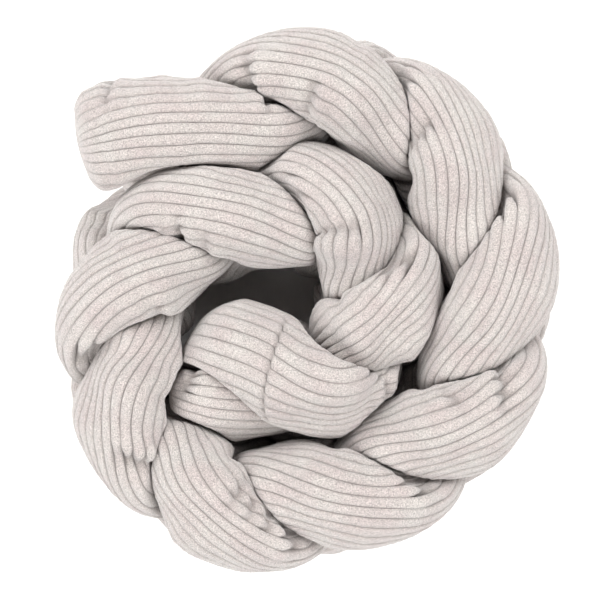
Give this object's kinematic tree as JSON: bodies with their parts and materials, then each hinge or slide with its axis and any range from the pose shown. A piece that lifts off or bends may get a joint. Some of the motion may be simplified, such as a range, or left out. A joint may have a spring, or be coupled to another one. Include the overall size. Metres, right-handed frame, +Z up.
{
  "type": "braided crib bumper",
  "caption": "Plaited crib bumper of filled wide-wale corduroy tubes, rolled up in a spiral and standing on its edge; it pads the inside of a crib's rails.",
  "frame": {"origin": "on the floor under the middle of the roll's bounding box", "axes": "+Z up out of the floor, +Y along the roll's longer side in plan, the roll's outer end points to -X"},
  "size_m": [0.466, 0.499, 0.1874],
  "materials": {
    "corduroy": "soft cut pile in wide raised wales"
  },
  "bodies": {
    "root": {"strand_1": "corduroy", "strand_2": "corduroy", "strand_3": "corduroy"}
  },
  "joints": []
}
